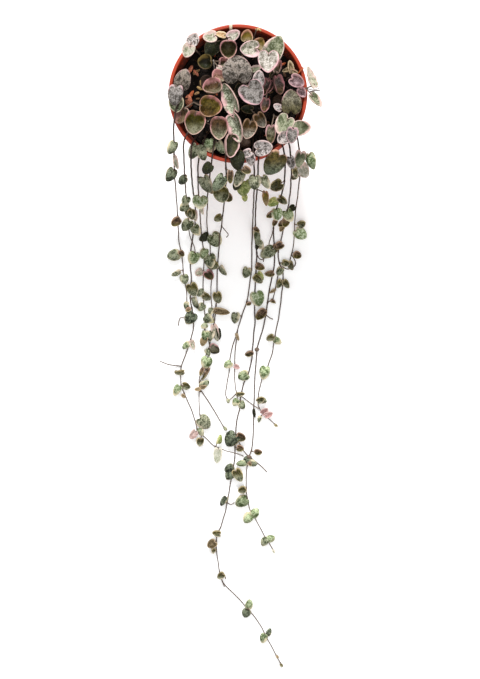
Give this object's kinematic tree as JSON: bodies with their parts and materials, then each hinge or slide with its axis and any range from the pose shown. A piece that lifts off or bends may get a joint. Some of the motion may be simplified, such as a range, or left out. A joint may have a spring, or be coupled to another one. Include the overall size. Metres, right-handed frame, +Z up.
{
  "type": "potted string of hearts",
  "caption": "Variegated string of hearts in a round plastic nursery pot: a crown of heart-shaped leaves over the soil and leafy vines that trail over the rim and along the surface.",
  "frame": {"origin": "middle of the pot's base, on the surface that it stands on", "axes": "+Z up out of the pot's mouth; +Y the back; the vines trail towards -Y; +X to the right when seen from the front"},
  "size_m": [0.1255, 0.5026, 0.1048],
  "materials": {
    "pot_plastic": "satin",
    "soil": "matte",
    "corm": "matte",
    "vine": "satin",
    "crown_leaf": "satin"
  },
  "bodies": {
    "root": {"pot": "pot_plastic", "soil": "soil", "corm_1": "corm", "corm_2": "corm", "corm_3": "corm", "vine_01": "vine", "vine_02": "vine", "vine_03": "vine", "vine_04": "vine", "vine_05": "vine", "vine_06": "vine", "vine_07": "vine", "vine_08": "vine", "vine_09": "vine", "vine_10": "vine", "vine_11": "vine", "vine_12": "vine", "crown_01": "crown_leaf", "crown_02": "crown_leaf", "crown_03": "crown_leaf", "crown_04": "crown_leaf", "crown_05": "crown_leaf", "crown_06": "crown_leaf", "crown_07": "crown_leaf", "crown_08": "crown_leaf", "crown_09": "crown_leaf", "crown_10": "crown_leaf", "crown_11": "crown_leaf", "crown_12": "crown_leaf", "crown_13": "crown_leaf", "crown_14": "crown_leaf", "crown_15": "crown_leaf", "crown_16": "crown_leaf", "crown_17": "crown_leaf", "crown_18": "crown_leaf", "crown_19": "crown_leaf", "crown_20": "crown_leaf", "crown_21": "crown_leaf", "crown_22": "crown_leaf", "crown_23": "crown_leaf"}
  },
  "joints": []
}
